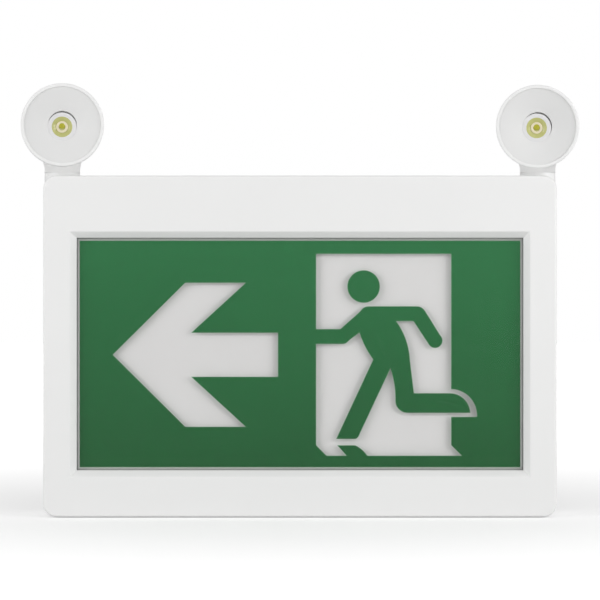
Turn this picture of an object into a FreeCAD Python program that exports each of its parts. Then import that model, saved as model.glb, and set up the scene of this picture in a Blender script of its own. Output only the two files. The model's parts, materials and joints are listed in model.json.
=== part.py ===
import FreeCAD, Part

# Combination emergency exit light: a running-figure exit sign with two swivelling lamp heads.
#
# Frame: millimetres, +X right, +Z up, front towards -Y. The wall is the plane y = 0 and the origin is
# the middle of the mounting hole pattern in the back. Depths are distances in front of the wall.

import math
import os

import Sketcher
from FreeCAD import Placement, Rotation, Vector

doc = FreeCAD.newDocument("exit_light")

# ---------------------------------------------------------------- driving dimensions, millimetres

DIMENSIONS = {
    # sign box
    "corner_round": 8, "shell_wall": 2.6, "back_wall": 2.6, "back_edge_bevel": 1.2, "cover_depth": 10,
    "face_wall": 2.6, "face_edge_bevel": 0.8,
    "lap_depth": 3, "lap_step": 1.4, "lap_clearance": 0.15, "cover_lap_wall": 2.5,
    # window with the margins of the face round it, and the sheets behind it
    "window_width": 270, "window_height": 140.5, "window_side_margin": 20,
    "window_top_margin": 37.5, "window_bottom_margin": 28,
    "bevel_width": 3.6, "bevel_lip": 0.4, "collar_wall": 2.4,
    "sheet_overlap": 3.2, "sheet_clearance": 0.3, "sheet_thickness": 1.5,
    "print_thickness": 0.4, "print_margin": 1.6, "diffuser_gap": 2.6,
    "diffuser_thickness": 2, "diffuser_overlap": 7, "seat_gap": 0.3,
    # legend: arrow, and the doorway with its running figure
    "arrow_tip_margin": 21.8, "arrow_length": 99.8, "arrow_height": 87, "arrow_barb": 43.8,
    "arrow_barb_width": 36.4, "arrow_shaft": 26.5, "arrow_notch": 47.2, "arrow_rise": 0.5,
    "door_left": 9.8, "door_foot_margin": 8.75, "door_head_margin": 9.75,
    # light box and its strips
    "light_box_gap": 2.5, "light_box_depth": 14, "light_box_wall": 1.6, "light_box_flange": 3,
    "light_box_post_inset": 17, "strip_end_gap": 17, "strip_width": 8, "strip_thickness": 1,
    "chip_length": 3.5, "chip_width": 2.8, "chip_height": 0.8, "chip_end_margin": 5, "chip_count": 13,
    # wall fixing
    "fixing_spacing": 88.9, "fixing_hole_radius": 2.6, "cable_entry_radius": 11.1,
    "keyhole_spacing": 200, "keyhole_drop": 41, "keyhole_head_radius": 4.5,
    "keyhole_slot_radius": 2.3, "keyhole_rise": 8,
    # screws and the square posts they bite into
    "post_width": 7, "post_height": 3.8, "screw_radius": 1.25, "screw_length": 6,
    "screw_head_radius": 2.9, "screw_head_height": 1.9, "screw_tip_room": 0.4,
    "thread_play": 0.05, "clearance_play": 0.35,
    # charger board and what it carries
    "board_side_gap": 39, "board_floor_gap": 23, "board_width": 88, "board_height": 56,
    "board_thickness": 1.6, "board_screw_inset": 5,
    "core_width": 28, "core_height": 20, "core_depth": 13, "core_yoke": 2, "core_limb": 5,
    "core_centre_limb": 6, "winding_overhang": 2, "transformer_side_gap": 6, "transformer_drop": 8,
    "capacitor_width": 8, "capacitor_height": 14, "capacitor_depth": 12, "capacitor_pitch": 12,
    "capacitor_count": 3, "relay_width": 15, "relay_height": 10, "relay_depth": 11,
    "terminal_width": 20, "terminal_height": 8, "terminal_depth": 9, "terminal_ways": 4,
    "terminal_opening": 3.2,
    # battery
    "cell_radius": 7.1, "cell_length": 50, "cell_count": 5, "battery_side_gap": 39.2,
    "battery_floor_gap": 28, "strap_width": 10, "strap_thickness": 0.8, "strap_foot": 10,
    # test button, its switch and the pilot light in the bottom wall
    "button_side_gap": 55, "button_depth": 20, "button_radius": 5, "button_clearance": 0.2,
    "button_recess": 0.4, "button_flange_width": 12.8, "button_flange": 1, "button_stem_width": 3.6,
    "pilot_spacing": 16, "pilot_radius": 2.5, "pilot_clearance": 0.1, "pilot_recess": 0.2,
    "pilot_rise": 8, "lead_pitch": 2.54, "lead_width": 0.6,
    "switch_size": 6.2, "switch_height": 3.6, "plunger_radius": 1.7, "plunger_rise": 1.4,
    "plunger_room": 1.2, "indicator_board_width": 42, "indicator_board_depth": 24,
    "indicator_board_height": 10.4, "rail_width": 4, "rail_depth": 14, "rail_lip": 1.6,
    "rail_bite": 1.6, "rail_clearance": 0.2,
    # lamp turrets and necks
    "turret_wall": 2.4, "turret_bulge": 1.2, "turret_seam_gap": 1.2, "turret_rise": 2.4,
    "turret_foot_gap": 2.9, "turret_plate": 3, "spigot_radius": 6, "running_clearance": 0.08,
    "neck_gap": 0.2, "neck_depth": 8, "neck_top_round": 3, "flare_low": 2.7, "flare_high": 8.2,
    "crook_rise": 11.7, "crook_round": 6, "tilt_reach": 10, "ear_radius": 4.4, "ear_span": 24,
    "ear_slot": 15, "ear_slot_reach": 5, "ear_slot_rise": 8.7, "wire_bore_radius": 2.6,
    "wire_exit_drop": 8, "wire_exit_radius": 2, "nut_play": 0.1, "nut_height": 4, "nut_rim": 1.8,
    "nut_side_gap": 0.6,
    "tilt_screw_radius": 1.5, "tilt_screw_head_radius": 2.8, "tilt_screw_head": 1.7,
    "tilt_nut_radius": 3, "tilt_nut_height": 2,
    # lamp head, reaches are distances ahead of the tilt axis
    "lamp_radius": 25, "lamp_gap": 5.3, "rim_width": 2, "rim_bevel": 0.7, "shell_straight": 7.5,
    "shell_taper": 8, "ear_shell_gap": 0.4, "lamp_wall": 1.6, "lug_side_gap": 0.2, "lug_step": 0.2,
    "dish_stand": 1.8, "dish_clearance": 0.1, "dish_recess": 0.6, "dish_depth": 4,
    "dish_thickness": 1.2, "optic_play": 0.4, "heat_sink_radius": 13, "heat_sink_play": 0.6,
    "heat_sink_thickness": 1.5,
    "emitter_board_radius": 9.5, "emitter_board_thickness": 1, "emitter_size": 4,
    "emitter_base": 0.6, "phosphor_radius": 1.6, "phosphor_height": 0.3,
    "optic_radius": 8.1, "optic_rear_radius": 4.4, "optic_rim": 0.8, "optic_stand": 0.7,
    # rest pose of the heads, degrees: both turned towards the middle, the right one dipped a little
    "rest_pan_angle": 5.5, "rest_dip_angle_left": 0, "rest_dip_angle_right": 4,
}

sheet = doc.addObject("Spreadsheet::Sheet", "Sizes")
for row, (name, number) in enumerate(DIMENSIONS.items(), start=1):
    sheet.set(f"A{row}", name)
    sheet.set(f"B{row}", str(number))
    sheet.setAlias(f"B{row}", name)
doc.recompute()


class Size:
    """A number read from the sheet that also carries the expression it came from."""

    def __init__(self, value, text):
        self.value = value
        self.text = text

    def join(self, sign, other, value):
        return Size(value, f"({self.text} {sign} {as_size(other).text})")

    def __add__(self, other):
        return self.join("+", other, self.value + as_size(other).value)

    def __sub__(self, other):
        return self.join("-", other, self.value - as_size(other).value)

    def __mul__(self, other):
        return self.join("*", other, self.value * as_size(other).value)

    def __truediv__(self, other):
        return self.join("/", other, self.value / as_size(other).value)

    def __radd__(self, other):
        return as_size(other) + self

    def __rsub__(self, other):
        return as_size(other) - self

    def __rmul__(self, other):
        return as_size(other) * self

    def __neg__(self):
        return 0 - self

    def __float__(self):
        return self.value


def as_size(value):
    return value if isinstance(value, Size) else Size(float(value), f"{float(value):.6f}")


class Dimensions:
    """Every cell of the sheet by its alias."""

    def __getattr__(self, alias):
        return Size(float(sheet.get(alias)), f"Sizes.{alias}")


d = Dimensions()

# ---------------------------------------------------------------- drawing helpers

nodes = {}
FRONT, TOP, SIDE = "XZ_Plane", "XY_Plane", "YZ_Plane"   # normals -Y, +Z and +X


def new_body(label):
    body = doc.addObject("PartDesign::Body", label)
    body.Label = label
    nodes[label] = body
    return body


def sketch_on(body, role, offset=0):
    """An empty sketch on one of the body's origin planes, moved along the plane's normal."""
    sketch = body.newObject("Sketcher::SketchObject", "outline")
    plane = next(item for item in body.Origin.OriginFeatures if item.Role == role)
    sketch.AttachmentSupport = [(plane, "")]
    sketch.MapMode = "FlatFace"
    sketch.setExpression("AttachmentOffset.Base.z", as_size(offset).text)
    return sketch


def bind(sketch, kind, places, size):
    """A dimensional constraint that follows the sheet."""
    size = as_size(size)
    index = sketch.addConstraint(Sketcher.Constraint(kind, *places, size.value))
    sketch.setExpression(f"Constraints[{index}]", size.text)


def rounded_rectangle(sketch, width, height, corner, x=0, y=0):
    """Four sides joined by four tangent corner arcs, about the point x, y of the sketch."""
    width, height, corner, x, y = map(as_size, (width, height, corner, x, y))
    left, right = (x - width / 2), (x + width / 2)
    low, high = (y - height / 2), (y + height / 2)
    l, r, b, t, c = (float(value) for value in (left, right, low, high, corner))
    first = sketch.GeometryCount
    corners = ((r - c, b + c), (r - c, t - c), (l + c, t - c), (l + c, b + c))
    ends = (((l + c, b), (r - c, b)), ((r, b + c), (r, t - c)),
            ((r - c, t), (l + c, t)), ((l, t - c), (l, b + c)))
    sides = [Part.LineSegment(Vector(*start), Vector(*end)) for start, end in ends]
    arcs = [Part.ArcOfCircle(Part.Circle(Vector(*centre), Vector(0, 0, 1), c),
                             (turn - 1) * math.pi / 2, turn * math.pi / 2)
            for turn, centre in enumerate(corners)]
    sketch.addGeometry(sides + arcs, False)
    rules = []
    for side in range(4):
        arc = first + 4 + side
        rules.append(Sketcher.Constraint("Tangent", first + side, 2, arc, 1))
        rules.append(Sketcher.Constraint("Tangent", arc, 2, first + (side + 1) % 4, 1))
        rules.append(Sketcher.Constraint("Vertical" if side % 2 else "Horizontal", first + side))
    rules += [Sketcher.Constraint("Equal", first + 4, first + 4 + other) for other in (1, 2, 3)]
    sketch.addConstraint(rules)
    bind(sketch, "DistanceY", (-1, 1, first, 1), low)
    bind(sketch, "DistanceX", (-1, 1, first + 1, 1), right)
    bind(sketch, "DistanceY", (-1, 1, first + 2, 1), high)
    bind(sketch, "DistanceX", (-1, 1, first + 3, 1), left)
    bind(sketch, "Radius", (first + 4,), corner)


def rectangle(sketch, left, right, low, high):
    """A square-cornered rectangle between four coordinates of the sketch."""
    left, right, low, high = map(as_size, (left, right, low, high))
    l, r, b, t = (float(value) for value in (left, right, low, high))
    first = sketch.GeometryCount
    points = [Vector(l, b), Vector(r, b), Vector(r, t), Vector(l, t)]
    sides = [Part.LineSegment(points[side], points[(side + 1) % 4]) for side in range(4)]
    sketch.addGeometry(sides, False)
    rules = []
    for side in range(4):
        rules.append(Sketcher.Constraint("Coincident", first + side, 2, first + (side + 1) % 4, 1))
        rules.append(Sketcher.Constraint("Vertical" if side % 2 else "Horizontal", first + side))
    sketch.addConstraint(rules)
    bind(sketch, "DistanceY", (-1, 1, first, 1), low)
    bind(sketch, "DistanceX", (-1, 1, first + 1, 1), right)
    bind(sketch, "DistanceY", (-1, 1, first + 2, 1), high)
    bind(sketch, "DistanceX", (-1, 1, first + 3, 1), left)


def square(sketch, width, x, y):
    rectangle(sketch, x - width / 2, x + width / 2, y - width / 2, y + width / 2)


def circle(sketch, radius, x=0, y=0):
    radius, x, y = map(as_size, (radius, x, y))
    round_line = Part.Circle(Vector(float(x), float(y)), Vector(0, 0, 1), float(radius))
    index = sketch.addGeometry(round_line, False)
    bind(sketch, "DistanceX", (-1, 1, index, 3), x)
    bind(sketch, "DistanceY", (-1, 1, index, 3), y)
    bind(sketch, "Radius", (index,), radius)


def outline(sketch, start, *steps):
    """A closed outline: a step is the next point, or a pair (point on the arc, next point)."""
    at = Vector(*map(float, start))
    home = at
    shapes = []
    for step in steps + ((start,) if tuple(map(float, start)) != flat(steps[-1]) else ()):
        if is_point(step):
            end = Vector(*map(float, step))
            shapes.append(Part.LineSegment(at, end))
        else:
            through, end = (Vector(*map(float, point)) for point in step)
            shapes.append(Part.Arc(at, through, end))
        at = end
    assert at.distanceToPoint(home) < 1e-6
    sketch.addGeometry(shapes, False)


def is_point(step):
    return not isinstance(step[0], tuple)


def flat(step):
    return tuple(map(float, step if is_point(step) else step[1]))


def feature(body, kind, sketch, **settings):
    """Add a feature whose sizes follow the sheet, and make sure it changed the solid."""
    before = body.Shape.Volume if body.Tip else 0.0
    item = body.newObject(f"PartDesign::{kind}", kind.lower())
    item.Profile = sketch
    for name, value in settings.items():
        if isinstance(value, Size):
            item.setExpression(name, value.text)
        else:
            setattr(item, name, value)
    sketch.Visibility = False
    doc.recompute()
    after = body.Shape.Volume
    grows = kind in ("Pad", "Revolution")
    if (after > before + 1e-6) != grows or abs(after - before) < 1e-6:
        raise RuntimeError(f"{body.Label}: {kind} did not {'add' if grows else 'remove'} material")
    return item


def pad(body, sketch, length, reverse=False, both=False):
    return feature(body, "Pad", sketch, Length=as_size(length), Reversed=reverse, Midplane=both)


def cut(body, sketch, length, reverse=False, both=False):
    return feature(body, "Pocket", sketch, Length=as_size(length), Reversed=reverse, Midplane=both)


def revolve(body, sketch):
    """A full turn about the sketch's horizontal axis."""
    return feature(body, "Revolution", sketch, ReferenceAxis=(sketch, ["H_Axis"]), Angle=360.0)


def chamfer(body, size, chosen):
    """Chamfer the edges of the tip whose bounding box the test accepts."""
    tip = body.Tip
    edges = [f"Edge{number}" for number, edge in enumerate(tip.Shape.Edges, start=1)
             if chosen(edge.BoundBox)]
    if not edges:
        raise RuntimeError(f"{body.Label}: no edges to chamfer")
    item = body.newObject("PartDesign::Chamfer", "bevel")
    item.Base = (tip, edges)
    item.setExpression("Size", as_size(size).text)
    doc.recompute()


def repeat(body, original, sketch, length, count):
    """A row of the feature along the sketch's horizontal axis."""
    row = body.newObject("PartDesign::LinearPattern", "row")
    row.Originals = [original]
    row.Direction = (sketch, ["H_Axis"])
    row.setExpression("Length", length.text)
    row.setExpression("Occurrences", count.text)
    body.Tip = row
    doc.recompute()


def near(value, target):
    return abs(value - float(target)) < 1e-4


def group(label, shapes):
    """Several separate like solids in one node."""
    item = doc.addObject("Part::Feature", label)
    item.Label = label
    item.Shape = Part.makeCompound(shapes)
    nodes[label] = item
    return item


# ---------------------------------------------------------------- planes shared by several pieces

sign_width = d.window_width + d.window_side_margin * 2
sign_height = d.window_height + d.window_top_margin + d.window_bottom_margin
sign_top = sign_height / 2
sign_bottom = -sign_top
window_z = sign_top - d.window_top_margin - d.window_height / 2

# the stack from the wall to the face
board_back = d.back_wall + d.post_height
board_front = board_back + d.board_thickness
light_box_back = board_front + d.core_depth + d.light_box_gap
diffuser_back = light_box_back + d.light_box_depth
diffuser_front = diffuser_back + d.diffuser_thickness
print_back = diffuser_front + d.diffuser_gap
sheet_back = print_back + d.print_thickness
sheet_front = sheet_back + d.sheet_thickness
sign_depth = sheet_front + d.bevel_lip + d.bevel_width
cover_back = sign_depth - d.cover_depth

diffuser_width = d.window_width + d.diffuser_overlap * 2
diffuser_height = d.window_height + d.diffuser_overlap * 2
light_box_posts = [(side * (diffuser_width / 2 - d.light_box_post_inset), window_z) for side in (-1, 1)]

board_x = sign_width / 2 - d.board_side_gap - d.board_width / 2
board_z = sign_bottom + d.board_floor_gap + d.board_height / 2
board_corners = [(board_x + side * (d.board_width / 2 - d.board_screw_inset),
                  board_z + rise * (d.board_height / 2 - d.board_screw_inset))
                 for side in (-1, 1) for rise in (-1, 1)]
board_posts = board_corners[::3]            # the other two corners only rest on their posts

strap_half = d.cell_radius * d.cell_count + d.seat_gap
battery_x = d.battery_side_gap + strap_half - sign_width / 2
battery_z = sign_bottom + d.battery_floor_gap + d.cell_length / 2
battery_depth = d.back_wall + d.seat_gap + d.cell_radius
strap_post_reach = strap_half + d.strap_thickness + d.strap_foot / 2
strap_posts = [(battery_x + side * strap_post_reach, battery_z) for side in (-1, 1)]

pilot_hole_radius = d.screw_radius + d.thread_play
pilot_depth = d.screw_length - d.strap_thickness + d.screw_tip_room
clearance_hole_radius = d.screw_radius + d.clearance_play

floor_inside = sign_bottom + d.shell_wall
indicator_board_low = floor_inside + d.indicator_board_height
indicator_board_high = indicator_board_low + d.board_thickness
button_x = sign_width / 2 - d.button_side_gap
pilot_x = button_x - d.pilot_spacing
indicator_board_x = (button_x + pilot_x) / 2
indicator_half = d.indicator_board_width / 2

pan_places = (("left", -1), ("right", 1))
nut_radius = d.spigot_radius + d.nut_rim
turret_bore_radius = nut_radius + d.nut_side_gap
turret_radius = turret_bore_radius + d.turret_wall
turret_top = sign_top + d.turret_rise
turret_height = (d.turret_rise + d.window_top_margin - d.diffuser_overlap - d.light_box_flange
                 - d.turret_foot_gap)
pan_spread = sign_width / 2 + d.turret_bulge - turret_radius
pan_depth = cover_back - d.turret_seam_gap - turret_radius
tilt_height = d.lamp_radius + d.lamp_gap

# ---------------------------------------------------------------- rear housing

def make_rear_housing():
    """Moulded tray with a lap tongue, two lamp turrets, screw posts and the wall fixing holes."""
    body = new_body("rear_housing")

    def tray_outline(depth, inset):
        sketch = sketch_on(body, FRONT, depth)
        rounded_rectangle(sketch, sign_width - inset * 2, sign_height - inset * 2,
                          d.corner_round - inset)
        return sketch

    pad(body, tray_outline(0, as_size(0)), cover_back)
    chamfer(body, d.back_edge_bevel, lambda box: near(box.YMin, 0) and near(box.YMax, 0))
    pad(body, tray_outline(cover_back, d.lap_step + d.lap_clearance), d.lap_depth)
    cut(body, tray_outline(cover_back + d.lap_depth, d.shell_wall),
        cover_back + d.lap_depth - d.back_wall)

    # a round turret in each top corner carries a lamp neck
    def turret_circles(height, radius):
        sketch = sketch_on(body, TOP, height)
        for _, side in pan_places:
            circle(sketch, radius, side * pan_spread, -pan_depth)
        return sketch

    pad(body, turret_circles(turret_top, turret_radius), turret_height, reverse=True)
    cut(body, turret_circles(turret_top - turret_height, turret_bore_radius),
        turret_height - d.turret_plate, reverse=True)
    cut(body, turret_circles(turret_top, d.spigot_radius + d.running_clearance), d.turret_plate)

    # square posts rise from the back wall: low ones for board and strap, tall ones for the light box
    def posts(places, top):
        sketch = sketch_on(body, FRONT, d.back_wall)
        for x, z in places:
            square(sketch, d.post_width, x, z)
        pad(body, sketch, top - d.back_wall)

    def pilot_holes(places, top):
        sketch = sketch_on(body, FRONT, top)
        for x, z in places:
            circle(sketch, pilot_hole_radius, x, z)
        cut(body, sketch, pilot_depth)

    posts(board_corners + strap_posts, board_back)
    pilot_holes(board_posts + strap_posts, board_back)
    posts(light_box_posts, light_box_back)
    pilot_holes(light_box_posts, light_box_back)

    # two grooved rails on the floor hold the ends of the indicator board
    rail_front = d.button_depth + d.rail_depth / 2
    groove_end = indicator_half + d.rail_clearance
    for groove in (False, True):
        sketch = sketch_on(body, FRONT, rail_front)
        for side in (-1, 1):
            inner = indicator_half - d.rail_bite
            outer = groove_end if groove else inner + d.rail_width
            places = sorted((indicator_board_x + side * inner, indicator_board_x + side * outer), key=float)
            low, high = floor_inside, indicator_board_high + d.rail_clearance + d.rail_lip
            if groove:
                low, high = indicator_board_low, indicator_board_high + d.rail_clearance
            rectangle(sketch, *places, low, high)
        if groove:
            cut(body, sketch, d.rail_depth)
        else:
            pad(body, sketch, d.rail_depth, reverse=True)

    # openings in the floor for the test button and the pilot light
    sketch = sketch_on(body, TOP, floor_inside)
    circle(sketch, d.button_radius + d.button_clearance, button_x, -d.button_depth)
    circle(sketch, d.pilot_radius + d.pilot_clearance, pilot_x, -d.button_depth)
    cut(body, sketch, d.shell_wall)

    # wall fixing: two round holes, a cable entry and a pair of keyholes
    sketch = sketch_on(body, FRONT, d.back_wall)
    circle(sketch, d.cable_entry_radius)
    for side in (-1, 1):
        circle(sketch, d.fixing_hole_radius, side * d.fixing_spacing / 2)
        keyhole(sketch, side * d.keyhole_spacing / 2, sign_top - d.keyhole_drop)
    cut(body, sketch, d.back_wall)


def keyhole(sketch, x, y):
    """A round hole for a screw head that narrows into a slot for its neck."""
    x, y = float(x), float(y)
    head, slot = float(d.keyhole_head_radius), float(d.keyhole_slot_radius)
    rise = float(d.keyhole_rise)
    meet = math.sqrt(head ** 2 - slot ** 2)
    outline(sketch, (x + slot, y + meet), (x + slot, y + rise),
            ((x, y + rise + slot), (x - slot, y + rise)), (x - slot, y + meet),
            ((x, y - head), (x + slot, y + meet)))


make_rear_housing()

# ---------------------------------------------------------------- front cover

def make_front_cover():
    """Snap-on face with a bevelled window frame and a collar behind it that holds the sheets."""
    body = new_body("front_cover")
    collar_back = diffuser_front + d.seat_gap
    rebate_width = d.window_width + (d.sheet_overlap + d.sheet_clearance) * 2
    rebate_height = d.window_height + (d.sheet_overlap + d.sheet_clearance) * 2

    def face_outline(depth, *insets):
        sketch = sketch_on(body, FRONT, depth)
        for inset in insets:
            rounded_rectangle(sketch, sign_width - inset * 2, sign_height - inset * 2,
                              d.corner_round - inset)
        return sketch

    def window_outline(sketch, width, height):
        rectangle(sketch, -width / 2, width / 2, window_z - height / 2, window_z + height / 2)
        return sketch

    pad(body, face_outline(cover_back, as_size(0)), d.cover_depth)
    chamfer(body, d.face_edge_bevel,
            lambda box: near(box.YMin, -sign_depth) and near(box.YMax, -sign_depth))
    cut(body, face_outline(cover_back, d.shell_wall), collar_back - cover_back, reverse=True)
    hollow = face_outline(collar_back, d.shell_wall)
    window_outline(hollow, rebate_width + d.collar_wall * 2, rebate_height + d.collar_wall * 2)
    cut(body, hollow, sign_depth - d.face_wall - collar_back, reverse=True)
    cut(body, face_outline(cover_back, d.lap_step, d.lap_step + d.cover_lap_wall),
        d.lap_depth + d.lap_clearance, reverse=True)
    cut(body, window_outline(sketch_on(body, FRONT, collar_back), rebate_width, rebate_height),
        sheet_front - collar_back, reverse=True)
    cut(body, window_outline(sketch_on(body, FRONT, sheet_front), d.window_width, d.window_height),
        sign_depth - sheet_front, reverse=True)
    within = float(d.window_width + d.bevel_width) / 2
    chamfer(body, d.bevel_width,
            lambda box: near(box.YMin, -sign_depth) and near(box.YMax, -sign_depth)
            and box.XMin > -within and box.XMax < within)


make_front_cover()

# ---------------------------------------------------------------- window, legend and diffuser

def make_plain_sheet(label, depth, thickness, overlap):
    body = new_body(label)
    sketch = sketch_on(body, FRONT, depth)
    rectangle(sketch, -(d.window_width / 2 + overlap), d.window_width / 2 + overlap,
              window_z - d.window_height / 2 - overlap, window_z + d.window_height / 2 + overlap)
    pad(body, sketch, thickness)


make_plain_sheet("legend_window", sheet_back, d.sheet_thickness, d.sheet_overlap)
make_plain_sheet("diffuser_panel", diffuser_back, d.diffuser_thickness, d.diffuser_overlap)


# The doorway and its running figure, drawn on a grid of 122 units to the doorway's height. A pair of
# points is an arc through the first to the second.
DOOR_GRID_HEIGHT, DOOR_GRID_WIDTH = 122, 81.6
HEAD_CENTRE, HEAD_RADIUS = (28.7, 102.3), 9.9
WRIST, SLEEVE = 67.5, 76.6                   # underside and top of the forward hand
THIGH, CALF = 37.8, 25.8                     # upper and lower edge of the trailing leg
ABOVE_AND_BEHIND = [
    (0, SLEEVE), (14.5, SLEEVE), (26.5, 87.2), ((28.6, 89.5), (32.3, 90.4)), (60.4, 90.4),
    ((63.6, 89.7), (65.8, 87.7)), (75.1, 72.8), ((75.6, 67.0), (68.3, 66.9)), (58.8, 81.3),
    (48.5, 81.3), ((54.6, 69.5), (56.8, 57.3)), (59.2, THIGH), (DOOR_GRID_WIDTH, THIGH),
    (DOOR_GRID_WIDTH, DOOR_GRID_HEIGHT), (0, DOOR_GRID_HEIGHT)]
IN_FRONT_AND_BELOW = [
    (0, WRIST), (16.5, WRIST), ((18.5, 68.3), (19.9, 69.7)), (26.1, 74.3), ((29.5, 66.1), (34.4, 58.1)),
    (12, 10), (23.8, 10), ((25.6, 11.4), (26.4, 13.2)), (44.9, 52.6), ((46.9, 45.0), (47.8, 32.6)),
    ((50.1, 27.9), (55.9, CALF)), (DOOR_GRID_WIDTH, CALF), (DOOR_GRID_WIDTH, 6.3), (87.9, 0), (31, 0),
    ((27.8, 3.6), (23.5, 6.3)), (12.6, 6.3), (18.2, 0), (6.3, 0), (0, 6.3)]
TRAILING_FOOT_LINE = [
    (DOOR_GRID_WIDTH, 40.2), ((92.2, 35.9), (97.2, 23.5)), (DOOR_GRID_WIDTH, 23.5),
    (DOOR_GRID_WIDTH, CALF), (93.3, CALF), ((90.2, 33.6), (DOOR_GRID_WIDTH, THIGH))]
FIGURE = (ABOVE_AND_BEHIND, IN_FRONT_AND_BELOW, TRAILING_FOOT_LINE)

door_foot = window_z - d.window_height / 2 + d.door_foot_margin
figure_unit = (d.window_height - d.door_foot_margin - d.door_head_margin) / DOOR_GRID_HEIGHT


def on_film(point):
    """A grid point of the figure in the plane of the film."""
    return (float(d.door_left + figure_unit * point[0]), float(door_foot + figure_unit * point[1]))


def make_legend_print():
    """Green film with the arrow and the doorway left clear; the figure stays green in the doorway."""
    body = new_body("legend_print")
    sketch = sketch_on(body, FRONT, print_back)
    rectangle(sketch, -(d.window_width / 2 - d.print_margin), d.window_width / 2 - d.print_margin,
              window_z - d.window_height / 2 + d.print_margin,
              window_z + d.window_height / 2 - d.print_margin)
    pad(body, sketch, d.print_thickness)

    # arrow pointing left, its notches level with the shaft
    sketch = sketch_on(body, FRONT, print_back)
    tip = -float(d.window_width) / 2 + float(d.arrow_tip_margin)
    axis = float(window_z) - float(d.arrow_rise)
    half, shaft = float(d.arrow_height) / 2, float(d.arrow_shaft) / 2
    barb, notch = tip + float(d.arrow_barb), tip + float(d.arrow_notch)
    barb_end, tail = barb + float(d.arrow_barb_width), tip + float(d.arrow_length)
    outline(sketch, (tip, axis), (barb, axis + half), (barb_end, axis + half), (notch, axis + shaft),
            (tail, axis + shaft), (tail, axis - shaft), (notch, axis - shaft),
            (barb_end, axis - half), (barb, axis - half))
    cut(body, sketch, d.print_thickness, reverse=True)

    # doorway, cut away round the figure, which runs towards the left
    for start, *steps in FIGURE:
        sketch = sketch_on(body, FRONT, print_back)
        outline(sketch, on_film(start), *(tuple(map(on_film, step)) if isinstance(step[0], tuple)
                                          else on_film(step) for step in steps))
        cut(body, sketch, d.print_thickness, reverse=True)
    # the head is a disc of its own
    sketch = sketch_on(body, FRONT, print_back)
    circle(sketch, figure_unit * HEAD_RADIUS, d.door_left + figure_unit * HEAD_CENTRE[0],
           door_foot + figure_unit * HEAD_CENTRE[1])
    pad(body, sketch, d.print_thickness)


make_legend_print()

# ---------------------------------------------------------------- light box and its strips

def make_light_box():
    """White tray that mixes the light of the two strips, screwed to two posts of the housing."""
    body = new_body("light_box")

    def tray(depth, growth):
        sketch = sketch_on(body, FRONT, depth)
        half_width, half_height = diffuser_width / 2 + growth, diffuser_height / 2 + growth
        rectangle(sketch, -half_width, half_width, window_z - half_height, window_z + half_height)
        return sketch

    pad(body, tray(light_box_back, as_size(0)), d.light_box_depth)
    pad(body, tray(diffuser_back - d.light_box_wall, d.light_box_flange), d.light_box_wall)
    cut(body, tray(diffuser_back, -d.light_box_wall), d.light_box_depth - d.light_box_wall)
    sketch = sketch_on(body, FRONT, light_box_back + d.light_box_wall)
    for x, z in light_box_posts:
        circle(sketch, clearance_hole_radius, x, z)
    cut(body, sketch, d.light_box_wall)


def make_led_strip(side_name, side):
    """A strip board against one long wall of the light box, with its row of chips."""
    wall = window_z + side * (diffuser_height / 2 - d.light_box_wall)
    face = wall - side * d.strip_thickness
    middle = light_box_back + d.light_box_wall + (d.light_box_depth - d.light_box_wall) / 2
    board = new_body(f"led_strip_{side_name}")
    sketch = sketch_on(board, TOP, wall)
    rectangle(sketch, d.strip_end_gap - diffuser_width / 2, diffuser_width / 2 - d.strip_end_gap,
              -(middle + d.strip_width / 2), -(middle - d.strip_width / 2))
    pad(board, sketch, d.strip_thickness, reverse=side > 0)

    chips = new_body(f"led_chips_{side_name}")
    row = diffuser_width - (d.strip_end_gap + d.chip_end_margin) * 2
    first = -row / 2
    sketch = sketch_on(chips, TOP, face)
    rectangle(sketch, first - d.chip_length / 2, first + d.chip_length / 2,
              -(middle + d.chip_width / 2), -(middle - d.chip_width / 2))
    chip = pad(chips, sketch, d.chip_height, reverse=side > 0)
    repeat(chips, chip, sketch, row, d.chip_count)


make_light_box()
for strip_name, strip_side in (("top", 1), ("bottom", -1)):
    make_led_strip(strip_name, strip_side)

# ---------------------------------------------------------------- charger board

def make_charger_board():
    """Board on four posts behind the light box, screwed to two of them."""
    body = new_body("charger_board")
    sketch = sketch_on(body, FRONT, board_back)
    rectangle(sketch, board_x - d.board_width / 2, board_x + d.board_width / 2,
              board_z - d.board_height / 2, board_z + d.board_height / 2)
    pad(body, sketch, d.board_thickness)
    sketch = sketch_on(body, FRONT, board_front)
    for x, z in board_posts:
        circle(sketch, clearance_hole_radius, x, z)
    cut(body, sketch, d.board_thickness)


def make_transformer():
    """E and I laminations with a winding round the middle limb."""
    x = board_x - d.board_width / 2 + d.transformer_side_gap + d.core_width / 2
    z = board_z - d.transformer_drop
    window = d.core_width / 2 - d.core_limb
    core = new_body("transformer_core")
    sketch = sketch_on(core, FRONT, board_front)
    rectangle(sketch, x - d.core_width / 2, x + d.core_width / 2,
              z - d.core_height / 2, z + d.core_height / 2)
    pad(core, sketch, d.core_depth)
    sketch = sketch_on(core, TOP, z)
    for side in (-1, 1):
        near_edge, far_edge = x + side * d.core_centre_limb / 2, x + side * window
        rectangle(sketch, *((near_edge, far_edge) if side > 0 else (far_edge, near_edge)),
                  -(board_front + d.core_depth - d.core_yoke), -(board_front + d.core_yoke))
    cut(core, sketch, d.core_height, both=True)

    winding = new_body("transformer_winding")
    sketch = sketch_on(winding, FRONT, board_front + d.core_yoke)
    rectangle(sketch, x - window, x + window, z - d.core_height / 2 - d.winding_overhang,
              z + d.core_height / 2 + d.winding_overhang)
    rectangle(sketch, x - d.core_centre_limb / 2, x + d.core_centre_limb / 2,
              z - d.core_height / 2, z + d.core_height / 2)
    pad(winding, sketch, d.core_depth - d.core_yoke * 2)


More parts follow.
